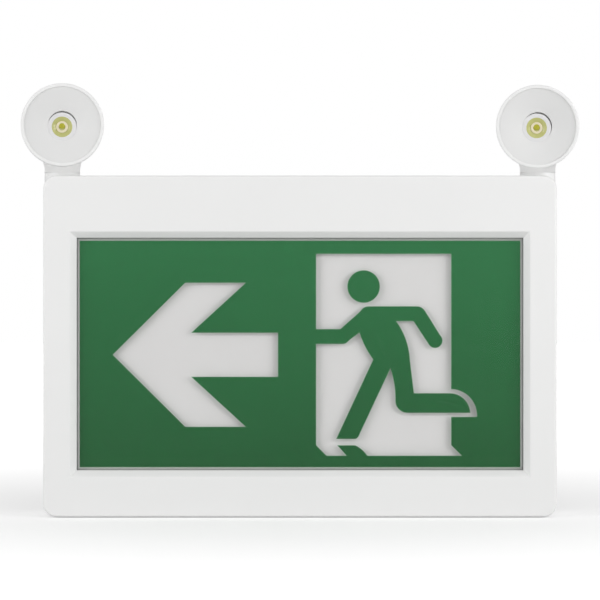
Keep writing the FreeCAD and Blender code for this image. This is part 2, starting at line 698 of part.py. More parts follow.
def make_board_parts():
    """Relay, terminal block and a row of film capacitors stand on the charger board."""
    upper_z = board_z + d.board_height / 2 - d.relay_height
    relay = new_body("transfer_relay")
    sketch = sketch_on(relay, FRONT, board_front)
    rectangle(sketch, board_x - d.relay_width, board_x,
              upper_z - d.relay_height / 2, upper_z + d.relay_height / 2)
    pad(relay, sketch, d.relay_depth)

    block = new_body("terminal_block")
    way = d.terminal_width / d.terminal_ways
    left = board_x + way
    sketch = sketch_on(block, FRONT, board_front)
    rectangle(sketch, left, left + d.terminal_width,
              upper_z - d.terminal_height / 2, upper_z + d.terminal_height / 2)
    pad(block, sketch, d.terminal_depth)
    sketch = sketch_on(block, FRONT, board_front + d.terminal_depth)
    square(sketch, d.terminal_opening, left + way / 2, upper_z)
    opening = cut(block, sketch, d.terminal_depth / 2)
    repeat(block, opening, sketch, d.terminal_width - way, d.terminal_ways)

    cans = new_body("capacitors")
    sketch = sketch_on(cans, FRONT, board_front)
    middle = board_z - d.transformer_drop
    rectangle(sketch, board_x, board_x + d.capacitor_width,
              middle - d.capacitor_height / 2, middle + d.capacitor_height / 2)
    can = pad(cans, sketch, d.capacitor_depth)
    repeat(cans, can, sketch, d.capacitor_pitch * (d.capacitor_count - 1), d.capacitor_count)


make_charger_board()
make_transformer()
make_board_parts()

# ---------------------------------------------------------------- battery

def make_battery():
    """Stick of round cells in one flat shrink sleeve, held down by a steel strap with two feet."""
    pack = new_body("battery_pack")
    x, y = float(battery_x), -float(battery_depth)
    radius = float(d.cell_radius)
    half_row = radius * (float(d.cell_count) - 1)
    sketch = sketch_on(pack, TOP, battery_z)
    outline(sketch, (x - half_row, y - radius), (x + half_row, y - radius),
            ((x + half_row + radius, y), (x + half_row, y + radius)), (x - half_row, y + radius),
            ((x - half_row - radius, y), (x - half_row, y - radius)))
    pad(pack, sketch, d.cell_length, both=True)

    strap = new_body("battery_strap")
    sketch = sketch_on(strap, TOP, battery_z)
    inside, gauge = float(strap_half), float(d.strap_thickness)
    outside = inside + gauge
    toe = outside + float(d.strap_foot)
    seat = -float(board_back)
    crown = -float(battery_depth + d.cell_radius + d.seat_gap)
    outline(sketch, (x - toe, seat), (x - inside, seat), (x - inside, crown), (x + inside, crown),
            (x + inside, seat), (x + toe, seat), (x + toe, seat - gauge), (x + outside, seat - gauge),
            (x + outside, crown - gauge), (x - outside, crown - gauge), (x - outside, seat - gauge),
            (x - toe, seat - gauge))
    pad(strap, sketch, d.strap_width, both=True)
    sketch = sketch_on(strap, FRONT, board_back + d.strap_thickness)
    for post_x, post_z in strap_posts:
        circle(sketch, clearance_hole_radius, post_x, post_z)
    cut(strap, sketch, d.strap_thickness)


make_battery()

# ---------------------------------------------------------------- test button, switch and pilot light

def make_indicator_board():
    """Small board over the floor, its ends in the two grooved rails."""
    body = new_body("indicator_board")
    sketch = sketch_on(body, TOP, indicator_board_low)
    rectangle(sketch, indicator_board_x - indicator_half, indicator_board_x + indicator_half,
              -d.button_depth - d.indicator_board_depth / 2, -d.button_depth + d.indicator_board_depth / 2)
    pad(body, sketch, d.board_thickness)


def upright_disc(body, height, radius, x, length):
    """A round length that rises from a height, at the button's depth."""
    sketch = sketch_on(body, TOP, height)
    circle(sketch, radius, x, -d.button_depth)
    pad(body, sketch, length)


def make_test_button():
    """Push button with a flange inside the wall; its stem bears on the switch's plunger."""
    face = sign_bottom + d.button_recess
    flange_low = floor_inside + d.button_clearance
    flange_high = flange_low + d.button_flange
    switch_low = indicator_board_low - d.switch_height
    plunger_low = switch_low - d.plunger_rise
    button = new_body("test_button")
    upright_disc(button, face, d.button_radius, button_x, flange_low - face)
    for width, low, high in ((d.button_flange_width, flange_low, flange_high),
                             (d.button_stem_width, flange_high, plunger_low)):
        sketch = sketch_on(button, TOP, low)
        square(sketch, width, button_x, -d.button_depth)
        pad(button, sketch, high - low)
    plunger = new_body("switch_plunger")
    upright_disc(plunger, plunger_low, d.plunger_radius, button_x, d.plunger_rise * 2)
    switch = new_body("test_switch")
    sketch = sketch_on(switch, TOP, indicator_board_low)
    square(sketch, d.switch_size, button_x, -d.button_depth)
    pad(switch, sketch, d.switch_height, reverse=True)
    sketch = sketch_on(switch, TOP, switch_low)
    circle(sketch, d.plunger_radius + d.pilot_clearance, button_x, -d.button_depth)
    cut(switch, sketch, d.plunger_rise + d.plunger_room, reverse=True)


def make_pilot_light():
    """Round charge indicator on two leads from the indicator board."""
    low = sign_bottom + d.pilot_recess
    high = low + d.pilot_rise
    body = new_body("pilot_light")
    upright_disc(body, low, d.pilot_radius, pilot_x, d.pilot_rise)
    sketch = sketch_on(body, TOP, high)
    for side in (-1, 1):
        square(sketch, d.lead_width, pilot_x + side * d.lead_pitch / 2, -d.button_depth)
    pad(body, sketch, indicator_board_low - high)


make_indicator_board()
make_test_button()
make_pilot_light()

# ---------------------------------------------------------------- hexagon-head screws

def make_hex_screws():
    """Six like thread-forming screws: two each for the charger board, the strap and the light box."""
    seats = [(x, board_front, z) for x, z in board_posts]
    seats += [(x, board_back + d.strap_thickness, z) for x, z in strap_posts]
    seats += [(x, light_box_back + d.light_box_wall, z) for x, z in light_box_posts]
    head = float(d.screw_head_radius)
    corners = [Vector(head * math.cos(turn * math.pi / 3), head * math.sin(turn * math.pi / 3), 0)
               for turn in range(7)]
    shapes = []
    for x, depth, z in seats:
        shape = Part.Face(Part.makePolygon(corners)).extrude(Vector(0, 0, float(d.screw_head_height)))
        shank = Part.makeCylinder(float(d.screw_radius), float(d.screw_length), Vector(), Vector(0, 0, -1))
        shape = shape.fuse(shank)
        shape.Placement = Placement(Vector(float(x), -float(depth), float(z)), Rotation(Vector(1, 0, 0), 90))
        shapes.append(shape)
    group("hex_screws", shapes)


make_hex_screws()

# ---------------------------------------------------------------- lamp necks
# A neck is drawn about its pan axis at the height of the tilt axis, facing -Y, then placed.

neck_base = -(tilt_height - d.turret_rise - d.neck_gap)
nut_top = neck_base - d.neck_gap - d.turret_plate - d.nut_play
spigot_length = neck_base - nut_top + d.nut_height
clear_through = d.ear_span * 2               # longer than a neck is wide or deep


def neck_placement(side):
    origin = Vector(side * float(pan_spread), -float(pan_depth), float(sign_top + tilt_height))
    return Placement(origin, Rotation(Vector(0, 0, 1), -side * float(d.rest_pan_angle)))


def lamp_placement(side):
    dip = float(d.rest_dip_angle_left if side < 0 else d.rest_dip_angle_right)
    forward = Placement(Vector(0, -float(d.tilt_reach), 0), Rotation(Vector(1, 0, 0), dip))
    return neck_placement(side).multiply(forward)


def make_swivel_neck(label, place):
    """Upright blade on a hollow spigot, leaning forward into two ears that hold the tilt screw."""
    body = new_body(label)
    back, front = float(d.neck_depth) / 2, -float(d.neck_depth) / 2
    base, ear, reach = float(neck_base), float(d.ear_radius), float(d.tilt_reach)
    crook = Vector(front, float(neck_base + d.crook_rise), 0)
    run = Vector(-reach, 0, 0) - crook
    lean = math.atan2(run.y, run.x) - math.asin(ear / run.Length) - math.pi / 2
    touch = Vector(-reach - ear * math.cos(lean), -ear * math.sin(lean), 0)
    crook_start, crook_middle, crook_end = blend(touch, crook, Vector(front, base, 0), d.crook_round)
    top_start, top_middle, top_end = blend(Vector(back, base, 0), Vector(back, ear, 0),
                                           Vector(-reach, ear, 0), d.neck_top_round)
    sketch = sketch_on(body, SIDE, 0)
    outline(sketch, (back, base), top_start, (top_middle, top_end), (-reach, ear),
            ((-reach - ear, 0), tuple(touch)[:2]), crook_start, (crook_middle, crook_end), (front, base))
    pad(body, sketch, d.ear_span, both=True)

    # the blade is narrower than the ears and flares into them
    sketch = sketch_on(body, FRONT, 0)
    wide, narrow = float(d.ear_span), float(turret_radius)
    start, end = float(neck_base + d.flare_low), float(neck_base + d.flare_high)
    for side in (-1, 1):
        outline(sketch, (side * narrow, base - narrow), (side * narrow, start), (side * wide / 2, end),
                (side * wide, end), (side * wide, base - narrow))
    cut(body, sketch, clear_through, both=True)

    # slot between the ears for the lug of the lamp
    sketch = sketch_on(body, FRONT, d.ear_slot_reach)
    rectangle(sketch, -d.ear_slot / 2, d.ear_slot / 2, neck_base + d.ear_slot_rise, d.ear_radius * 2)
    cut(body, sketch, clear_through, reverse=True)

    # spigot, tilt bore and the way for the lamp's lead
    sketch = sketch_on(body, TOP, neck_base)
    circle(sketch, d.spigot_radius)
    pad(body, sketch, spigot_length, reverse=True)
    sketch = sketch_on(body, TOP, neck_base - spigot_length)
    circle(sketch, d.wire_bore_radius)
    cut(body, sketch, spigot_length - neck_base - d.wire_exit_drop, reverse=True)
    sketch = sketch_on(body, FRONT, d.ear_slot_reach)
    circle(sketch, d.wire_exit_radius, 0, -d.wire_exit_drop - d.wire_bore_radius)
    cut(body, sketch, d.ear_slot_reach)
    sketch = sketch_on(body, SIDE, 0)
    circle(sketch, d.tilt_screw_radius + d.running_clearance / 2, -d.tilt_reach, 0)
    cut(body, sketch, clear_through, both=True)
    body.Placement = place


def blend(before, corner, after, radius):
    """Three points of the arc that rounds a corner between two straight lines."""
    radius = float(radius)
    back, ahead = (before - corner).normalize(), (after - corner).normalize()
    half = back.getAngle(ahead) / 2
    run = radius / math.tan(half)
    middle = (back + ahead).normalize() * (radius / math.sin(half) - radius)
    return [tuple(corner + step)[:2] for step in (back * run, middle, ahead * run)]


def regular_outline(sketch, corners, radius, x=0.0, y=0.0):
    """A regular polygon with its corners on a circle."""
    turns = [2 * math.pi * turn / corners for turn in range(corners)]
    outline(sketch, *((x + radius * math.cos(turn), y + radius * math.sin(turn)) for turn in turns))


def make_neck_nut(name, place):
    """Nut on the spigot under the turret's top plate; it sets how stiffly the neck turns."""
    nut = new_body(f"{name}_neck_nut")
    sketch = sketch_on(nut, TOP, nut_top)
    regular_outline(sketch, 6, float(nut_radius))
    circle(sketch, d.spigot_radius + d.running_clearance / 2)
    pad(nut, sketch, d.nut_height, reverse=True)
    nut.Placement = place


def make_tilt_screw(name, side, place):
    """Cross pin of the tilt joint: a round-head screw from outside and a nut on the inner ear."""
    half = d.ear_span / 2
    screw = new_body(f"{name}_tilt_screw")
    sketch = sketch_on(screw, SIDE, side * half)
    circle(sketch, d.tilt_screw_head_radius, -d.tilt_reach, 0)
    pad(screw, sketch, d.tilt_screw_head, reverse=side < 0)
    sketch = sketch_on(screw, SIDE, side * half)
    circle(sketch, d.tilt_screw_radius, -d.tilt_reach, 0)
    pad(screw, sketch, d.ear_span + d.tilt_nut_height, reverse=side > 0)
    screw.Placement = place
    nut = new_body(f"{name}_tilt_nut")
    sketch = sketch_on(nut, SIDE, -side * half)
    regular_outline(sketch, 6, float(d.tilt_nut_radius), -float(d.tilt_reach))
    circle(sketch, d.tilt_screw_radius + d.running_clearance / 2, -d.tilt_reach, 0)
    pad(nut, sketch, d.tilt_nut_height, reverse=side > 0)
    nut.Placement = place


# ---------------------------------------------------------------- lamp heads
# A lamp is drawn about its tilt axis, facing -Y, and turned about the Y axis through it.

bore_radius = d.lamp_radius - d.rim_width
shell_back = d.ear_radius + d.ear_shell_gap
shell_inside = shell_back + d.lamp_wall
heat_sink_front = shell_inside + d.heat_sink_thickness
emitter_seat = heat_sink_front + d.emitter_board_thickness
phosphor_front = emitter_seat + d.emitter_base + d.phosphor_height
dish_back = emitter_seat + d.dish_stand
dish_hole_front = dish_back + d.dish_thickness
dish_front = dish_hole_front + d.dish_depth
rim_reach = dish_front + d.dish_recess
engine_room_radius = d.heat_sink_radius + d.heat_sink_play
dish_hole_radius = d.optic_radius + d.optic_play


def turned_piece(label, place, *steps):
    """Revolve a half section given as (reach, radius) points about the lamp's axis."""
    body = new_body(label)
    sketch = sketch_on(body, SIDE, 0)
    outline(sketch, *((-float(reach), float(radius)) for reach, radius in steps))
    revolve(body, sketch)
    body.Placement = place
    return body


def make_lamp_shell(label, place):
    """Shallow moulded bowl with a plain rim, a seat for the dish and a lug behind for the tilt screw."""
    shoulder = rim_reach - d.shell_straight
    body = turned_piece(
        label, Placement(), (shell_back, 0), (shell_back, d.lamp_radius - d.shell_taper),
        (shoulder, d.lamp_radius), (rim_reach - d.rim_bevel, d.lamp_radius),
        (rim_reach, d.lamp_radius - d.rim_bevel), (rim_reach, bore_radius), (dish_back, bore_radius),
        (dish_back, engine_room_radius), (shell_inside, engine_room_radius), (shell_inside, 0))
    lug = float(d.ear_radius - d.lug_step)
    root = -float(shell_back + shell_inside) / 2
    sketch = sketch_on(body, SIDE, 0)
    outline(sketch, (root, -lug), (0, -lug), ((lug, 0), (0, lug)), (root, lug))
    pad(body, sketch, d.ear_slot - d.lug_side_gap * 2, both=True)
    sketch = sketch_on(body, SIDE, 0)
    circle(sketch, d.tilt_screw_radius + d.running_clearance)
    cut(body, sketch, clear_through, both=True)
    body.Placement = place


def make_lamp_dish(label, place):
    """Satin white cone that fills the bowl and leaves a round hole for the optic."""
    edge = bore_radius - d.dish_clearance
    turned_piece(
        label, place, (dish_front, edge), (dish_hole_front, dish_hole_radius),
        (dish_back, dish_hole_radius), (dish_back, edge))


def make_light_engine(name, place):
    """Heat spreader, star board, emitter and moulded optic stacked on the bowl's floor."""
    for label, corners, radius, seat, thickness in (
            ("heat_sink", 8, d.heat_sink_radius, shell_inside, d.heat_sink_thickness),
            ("emitter_board", 6, d.emitter_board_radius, heat_sink_front, d.emitter_board_thickness)):
        plate = new_body(f"{name}_{label}")
        sketch = sketch_on(plate, FRONT, seat)
        regular_outline(sketch, corners, float(radius))
        pad(plate, sketch, thickness)
        plate.Placement = place

    emitter = new_body(f"{name}_emitter")
    sketch = sketch_on(emitter, FRONT, emitter_seat)
    square(sketch, d.emitter_size, as_size(0), as_size(0))
    pad(emitter, sketch, d.emitter_base)
    sketch = sketch_on(emitter, FRONT, emitter_seat + d.emitter_base)
    circle(sketch, d.phosphor_radius)
    pad(emitter, sketch, d.phosphor_height)
    emitter.Placement = place

    front = dish_hole_front + d.optic_stand
    rear = phosphor_front + d.seat_gap
    turned_piece(f"{name}_optic", place, (rear, 0), (front, 0), (front, d.optic_radius),
                 (front - d.optic_rim, d.optic_radius), (rear, d.optic_rear_radius))


for head_name, head_side in pan_places:
    neck_place, lamp_place = neck_placement(head_side), lamp_placement(head_side)
    make_swivel_neck(f"{head_name}_swivel_neck", neck_place)
    make_neck_nut(head_name, neck_place)
    make_tilt_screw(head_name, head_side, neck_place)
    make_lamp_shell(f"{head_name}_lamp_shell", lamp_place)
    make_lamp_dish(f"{head_name}_lamp_dish", lamp_place)
    make_light_engine(head_name, lamp_place)

# ---------------------------------------------------------------- check and write

doc.recompute()
faults = [item.Label for item in doc.Objects if {"Invalid", "Error"} & set(item.State)]
faults += [label for label, item in nodes.items() if item.Shape.isNull() or not item.Shape.isValid()]
if faults:
    raise RuntimeError(f"failed objects: {faults}")

os.makedirs("parts", exist_ok=True)
for label, item in nodes.items():
    item.Shape.exportStep(f"parts/{label}.step")
print(f"{len(nodes)} nodes written")
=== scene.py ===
import json
import math
import bmesh
import bpy
from mathutils import Matrix, Vector


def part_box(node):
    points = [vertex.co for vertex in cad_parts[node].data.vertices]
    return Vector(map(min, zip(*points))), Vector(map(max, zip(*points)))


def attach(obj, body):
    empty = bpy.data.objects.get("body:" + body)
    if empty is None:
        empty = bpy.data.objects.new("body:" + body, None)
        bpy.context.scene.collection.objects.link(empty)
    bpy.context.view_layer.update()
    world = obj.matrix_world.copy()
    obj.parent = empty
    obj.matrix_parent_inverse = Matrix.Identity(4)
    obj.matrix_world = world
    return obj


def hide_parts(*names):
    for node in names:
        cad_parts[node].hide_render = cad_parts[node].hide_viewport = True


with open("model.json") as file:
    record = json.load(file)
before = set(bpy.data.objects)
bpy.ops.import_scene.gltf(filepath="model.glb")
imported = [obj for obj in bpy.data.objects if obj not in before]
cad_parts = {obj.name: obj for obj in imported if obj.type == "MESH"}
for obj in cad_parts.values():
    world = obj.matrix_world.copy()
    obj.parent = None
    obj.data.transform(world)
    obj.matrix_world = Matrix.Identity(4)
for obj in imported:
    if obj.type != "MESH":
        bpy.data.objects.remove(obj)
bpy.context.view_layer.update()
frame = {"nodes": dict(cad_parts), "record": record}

# ---------------------------------------------------------------- studio
# The sign is seen square on from 1.5 m in front of its face, a little above its middle. A pale table
# and a white room stand round it. A large soft lamp stands at each side, the right one a little stronger,
# and a weak one hangs over the camera.

camera_data = bpy.data.cameras.new("camera")
camera_data.sensor_width = 36
camera_data.lens = 149.25
camera = bpy.data.objects.new("camera", camera_data)
camera.location = (0, -1.548, 0.0279)
camera.rotation_euler = (math.radians(90), 0, 0)
bpy.context.collection.objects.link(camera)
bpy.context.scene.camera = camera
bpy.context.scene.view_settings.view_transform = "Standard"


def soft_lamp(name, place, aim, width, height, watts):
    lamp_data = bpy.data.lights.new(name, "AREA")
    lamp_data.shape = "RECTANGLE"
    lamp_data.size, lamp_data.size_y = width, height
    lamp_data.energy = watts
    lamp = bpy.data.objects.new(name, lamp_data)
    lamp.location = place
    lamp.rotation_euler = (Vector(aim) - Vector(place)).to_track_quat("-Z", "Y").to_euler()
    bpy.context.collection.objects.link(lamp)


soft_lamp("top_lamp", (0.3, -1.5, 0.85), (0, 0, 0.05), 1.4, 0.5, 1.8)
soft_lamp("right_lamp", (1.5, -1.0, 0.24), (0, 0, 0), 1.0, 1.2, 18)
soft_lamp("left_lamp", (-1.5, -1.0, 0.24), (0, 0, 0), 1.0, 1.2, 15)

room = bpy.data.worlds.new("room")
room.use_nodes = True
bpy.context.scene.world = room
tree = room.node_tree
seen = tree.nodes.new("ShaderNodeLightPath")
either = tree.nodes.new("ShaderNodeMath")
either.operation = "MAXIMUM"
tree.links.new(seen.outputs["Is Camera Ray"], either.inputs[0])
tree.links.new(seen.outputs["Is Transmission Ray"], either.inputs[1])
level = tree.nodes.new("ShaderNodeMapRange")
level.inputs["To Min"].default_value = 0.46
level.inputs["To Max"].default_value = 1.0
tree.links.new(either.outputs[0], level.inputs["Value"])
tree.nodes["Background"].inputs["Color"].default_value = (1, 1, 1, 1)
tree.links.new(level.outputs["Result"], tree.nodes["Background"].inputs["Strength"])

table_mesh = bpy.data.meshes.new("table")
table_height, table_reach = -0.1035, 6
table_corners = [(side * table_reach, depth * table_reach, table_height)
                 for side, depth in ((-1, -1), (1, -1), (1, 1), (-1, 1))]
table_mesh.from_pydata(table_corners, [], [(0, 1, 2, 3)])
table = bpy.data.objects.new("table", table_mesh)
bpy.context.collection.objects.link(table)
table_paint = bpy.data.materials.new("table_paint")
table_paint.use_nodes = True
tree = table_paint.node_tree
shader = tree.nodes["Principled BSDF"]
shader.inputs["Base Color"].default_value = (0.8, 0.8, 0.8, 1)
shader.inputs["Roughness"].default_value = 1
shader.inputs["Specular IOR Level"].default_value = 0
seen = tree.nodes.new("ShaderNodeLightPath")
where = tree.nodes.new("ShaderNodeTexCoord")
away = tree.nodes.new("ShaderNodeVectorMath")
away.operation = "LENGTH"
tree.links.new(where.outputs["Object"], away.inputs[0])
fading = tree.nodes.new("ShaderNodeMapRange")
fading.inputs["From Min"].default_value = 0.2
fading.inputs["From Max"].default_value = 1.1
fading.inputs["To Min"].default_value = 0.35
fading.inputs["To Max"].default_value = 1.0
tree.links.new(away.outputs["Value"], fading.inputs["Value"])
lift = tree.nodes.new("ShaderNodeMath")
lift.operation = "MULTIPLY"
tree.links.new(seen.outputs["Is Camera Ray"], lift.inputs[0])
tree.links.new(fading.outputs["Result"], lift.inputs[1])
shader.inputs["Emission Color"].default_value = (1, 1, 1, 1)
tree.links.new(lift.outputs[0], shader.inputs["Emission Strength"])
table_mesh.materials.append(table_paint)

# ---------------------------------------------------------------- rear housing
# The tray behind the cover, with the two lamp turrets, is one injection moulding in white ABS. Its outer
# skin has a fine spark-eroded grain; the mould's edges are broken, so each corner catches a thin light.


def colours(sockets):
    """The colour sockets among the many that a Mix node has."""
    return [socket for socket in sockets if socket.type == "RGBA"]


def moulding(name, colour, roughness, grain=1500, depth=0.00002, mottle=0.015):
    """Moulded plastic: faint cloudy colour, a fine surface grain and gloss that changes with it."""
    material = bpy.data.materials.new(name)
    material.use_nodes = True
    tree = material.node_tree
    shader = tree.nodes["Principled BSDF"]
    where = tree.nodes.new("ShaderNodeTexCoord")
    cloud = tree.nodes.new("ShaderNodeTexNoise")
    cloud.inputs["Scale"].default_value = 14
    cloud.inputs["Detail"].default_value = 3
    tint = tree.nodes.new("ShaderNodeMix")
    tint.data_type = "RGBA"
    for socket, change in zip(colours(tint.inputs), (1 - mottle, 1 + mottle)):
        socket.default_value = [min(1, part * change) for part in colour] + [1]
    pits = tree.nodes.new("ShaderNodeTexNoise")
    pits.inputs["Scale"].default_value = grain
    pits.inputs["Detail"].default_value = 4
    pits.inputs["Roughness"].default_value = 0.6
    gloss = tree.nodes.new("ShaderNodeMapRange")
    gloss.inputs["To Min"].default_value = roughness - 0.05
    gloss.inputs["To Max"].default_value = roughness + 0.07
    relief = tree.nodes.new("ShaderNodeBump")
    relief.inputs["Distance"].default_value = depth
    relief.inputs["Strength"].default_value = 0.6
    for noise in (cloud, pits):
        tree.links.new(where.outputs["Object"], noise.inputs["Vector"])
    tree.links.new(cloud.outputs["Fac"], tint.inputs["Factor"])
    tree.links.new(colours(tint.outputs)[0], shader.inputs["Base Color"])
    tree.links.new(pits.outputs["Fac"], gloss.inputs["Value"])
    tree.links.new(gloss.outputs["Result"], shader.inputs["Roughness"])
    tree.links.new(pits.outputs["Fac"], relief.inputs["Height"])
    tree.links.new(relief.outputs["Normal"], shader.inputs["Normal"])
    return material


def add_piece(name, mesh, material, body, slot_name, *nodes):
    """A finished mesh becomes a piece that rides on its body and stands for CAD nodes."""
    mesh.materials.clear()
    mesh.materials.append(material)
    piece = bpy.data.objects.new(name, mesh)
    bpy.context.collection.objects.link(piece)
    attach(piece, body)
    if nodes:
        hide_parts(*nodes)
    return piece


def softened(node, name, material, body, slot_name, width, segments=2):
    """A copy of a plain solid with its flat faces joined up and every sharp edge given a small radius."""
    mesh = frame["nodes"][node].data.copy()
    work = bmesh.new()
    work.from_mesh(mesh)
    bmesh.ops.remove_doubles(work, verts=work.verts, dist=1e-6)
    bmesh.ops.dissolve_limit(work, angle_limit=math.radians(0.6), verts=work.verts, edges=work.edges)
    bmesh.ops.recalc_face_normals(work, faces=work.faces)
    for face in work.faces:
        face.smooth = True
    work.to_mesh(mesh)
    work.free()
    piece = add_piece(name, mesh, material, body, slot_name, node)
    bevel = piece.modifiers.new("edge_radius", "BEVEL")
    bevel.width = width
    bevel.segments = segments
    bevel.limit_method = "ANGLE"
    bevel.angle_limit = math.radians(28)
    bevel.harden_normals = True
    bevel.use_clamp_overlap = True
    flats = piece.modifiers.new("flat_faces", "WEIGHTED_NORMAL")
    flats.mode = "FACE_AREA"
    flats.weight = 80
    return piece


housing_plastic = moulding("housing_plastic", (0.86, 0.86, 0.855), 0.46)
softened("rear_housing", "housing", housing_plastic, "sign", "housing_white", 0.0004)

# ---------------------------------------------------------------- front cover
# The snap-on face is a second moulding of the same white, a touch glossier. A 45 degree bevel runs round
# the window, and the outer edge has a 1.2 mm radius; behind, a collar holds the sheets of the legend.


def frame_loop(half_width, half_height, corner, middle, depth, per_corner=8):
    """One closed line of points round a rounded rectangle at a depth in front of the wall."""
    points = []
    for turn in range(4):
        sign_x = 1 if turn in (0, 3) else -1
        sign_z = 1 if turn in (0, 1) else -1
        for step in range(per_corner + 1):
            angle = math.radians(90 * (turn + step / per_corner))
            points.append(Vector((sign_x * (half_width - corner) + corner * math.cos(angle), -depth,
                                  middle + sign_z * (half_height - corner) + corner * math.sin(angle))))
    return points


def stitched(name, loops, closed):
    """Quads between like loops of points, one after the other."""
    work = bmesh.new()
    rows = [[work.verts.new(point) for point in loop] for loop in loops]
    pairs = list(zip(rows, rows[1:] + rows[:1])) if closed else list(zip(rows, rows[1:]))
    for near, far in pairs:
        for at in range(len(near)):
            after = (at + 1) % len(near)
            work.faces.new((near[at], near[after], far[after], far[at]))
    bmesh.ops.recalc_face_normals(work, faces=work.faces)
    for face in work.faces:
        face.smooth = True
    mesh = bpy.data.meshes.new(name)
    work.to_mesh(mesh)
    work.free()
    return mesh


cover_low, cover_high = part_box("front_cover")
cover_half_width, cover_half_height = cover_high.x, cover_high.z
cover_front, cover_seam = -cover_low.y, -cover_high.y
window_low, window_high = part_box("legend_window")
window_middle = (window_low.z + window_high.z) / 2
sheet_overlap = 0.0032
window_half_width = window_high.x - sheet_overlap
window_half_height = (window_high.z - window_low.z) / 2 - sheet_overlap
sheet_front = -window_low.y
wall, lap_step, edge_radius, bevel_width, bevel_lip = 0.0026, 0.0014, 0.0012, 0.0036, 0.0004
corner_radius, sharpest_corner = 0.008, 0.0005
collar_gap, collar_outside, collar_back, lap_end = 0.0035, 0.0059, 0.0398, 0.04115


def outer(inset, depth):
    """A loop round the outside of the cover, drawn in by an inset."""
    corner = max(corner_radius - inset, sharpest_corner)
    return frame_loop(cover_half_width - inset, cover_half_height - inset, corner, 0, depth)


def inner(grow, depth, corner=0.0003):
    """A loop round the window, grown outwards."""
    return frame_loop(window_half_width + grow, window_half_height + grow, corner, window_middle, depth)


cover_loops = [outer(lap_step, cover_seam), outer(0.0003, cover_seam), outer(0.00008, cover_seam + 0.00009),
               outer(0, cover_seam + 0.0003)]
for step in range(7):
    angle = math.radians(15 * step)
    cover_loops.append(outer(edge_radius * (1 - math.cos(angle)),
                             cover_front - edge_radius * (1 - math.sin(angle))))
cover_loops += [outer(0.0030, cover_front), inner(bevel_width + 0.0015, cover_front, 0.0009),
                inner(bevel_width + 0.00025, cover_front, 0.0005),
                inner(bevel_width + 0.00005, cover_front - 0.00008, 0.0005),
                inner(bevel_width - 0.00012, cover_front - 0.00025, 0.0005),
                inner(0.00020, sheet_front + bevel_lip + 0.0002), inner(0.00004, sheet_front + bevel_lip),
                inner(0, sheet_front + 0.0003), inner(0, sheet_front),
                inner(collar_gap, sheet_front), inner(collar_gap, collar_back),
                inner(collar_outside, collar_back), inner(collar_outside, cover_front - wall),
                outer(wall, cover_front - wall), outer(wall, lap_end), outer(lap_step, lap_end)]
cover_plastic = moulding("cover_plastic", (0.86, 0.86, 0.855), 0.40, grain=1900, depth=0.000012)
cover = add_piece("cover", stitched("cover", cover_loops, True), cover_plastic, "sign", "cover_white",
                  "front_cover")
cover.data.set_sharp_from_angle(angle=math.radians(32))

# ---------------------------------------------------------------- legend sheet
# A flat sheet of clear acrylic, 1.5 mm thick, lies against the back of the window frame. Its cut edges
# are polished by the laser, and its faces give a soft reflection of the room.

clear_acrylic = bpy.data.materials.new("clear_acrylic")
clear_acrylic.use_nodes = True
tree = clear_acrylic.node_tree
shader = tree.nodes["Principled BSDF"]
shader.inputs["Base Color"].default_value = (0.985, 0.98, 0.98, 1)
shader.inputs["Transmission Weight"].default_value = 1.0
shader.inputs["IOR"].default_value = 1.49
shader.inputs["Specular IOR Level"].default_value = 0.12
haze = tree.nodes.new("ShaderNodeTexNoise")
haze.inputs["Scale"].default_value = 9
haze_range = tree.nodes.new("ShaderNodeMapRange")
haze_range.inputs["To Min"].default_value = 0.20
haze_range.inputs["To Max"].default_value = 0.26
where = tree.nodes.new("ShaderNodeTexCoord")
tree.links.new(where.outputs["Object"], haze.inputs["Vector"])
tree.links.new(haze.outputs["Fac"], haze_range.inputs["Value"])
tree.links.new(haze_range.outputs["Result"], shader.inputs["Roughness"])
through = tree.nodes.new("ShaderNodeBsdfTransparent")
seen = tree.nodes.new("ShaderNodeLightPath")
either = tree.nodes.new("ShaderNodeMath")
either.operation = "MAXIMUM"
tree.links.new(seen.outputs["Is Shadow Ray"], either.inputs[0])
tree.links.new(seen.outputs["Is Diffuse Ray"], either.inputs[1])
blend = tree.nodes.new("ShaderNodeMixShader")
tree.links.new(either.outputs[0], blend.inputs["Fac"])
tree.links.new(shader.outputs[0], blend.inputs[1])
tree.links.new(through.outputs[0], blend.inputs[2])
tree.links.new(blend.outputs[0], tree.nodes["Material Output"].inputs["Surface"])
softened("legend_window", "legend_sheet", clear_acrylic, "sign", "clear_sheet", 0.00015)

# ---------------------------------------------------------------- legend print
# The arrow, the doorway and its running figure are left clear in one printed green film behind the sheet.
# The ink is a little uneven, and painted light makes it lighter toward the top; its cut edge is painted pale
# as a painted highlight, and a grey band of painted shade fills the margin between it and the frame.

green_ink = bpy.data.materials.new("green_ink")
green_ink.use_nodes = True
tree = green_ink.node_tree
shader = tree.nodes["Principled BSDF"]
shader.inputs["Roughness"].default_value = 0.4
shader.inputs["Specular IOR Level"].default_value = 0.15
where = tree.nodes.new("ShaderNodeTexCoord")
cloud = tree.nodes.new("ShaderNodeTexNoise")
cloud.inputs["Scale"].default_value = 11
cloud.inputs["Detail"].default_value = 4
tree.links.new(where.outputs["Object"], cloud.inputs["Vector"])
place = tree.nodes.new("ShaderNodeSeparateXYZ")
tree.links.new(where.outputs["Object"], place.inputs["Vector"])
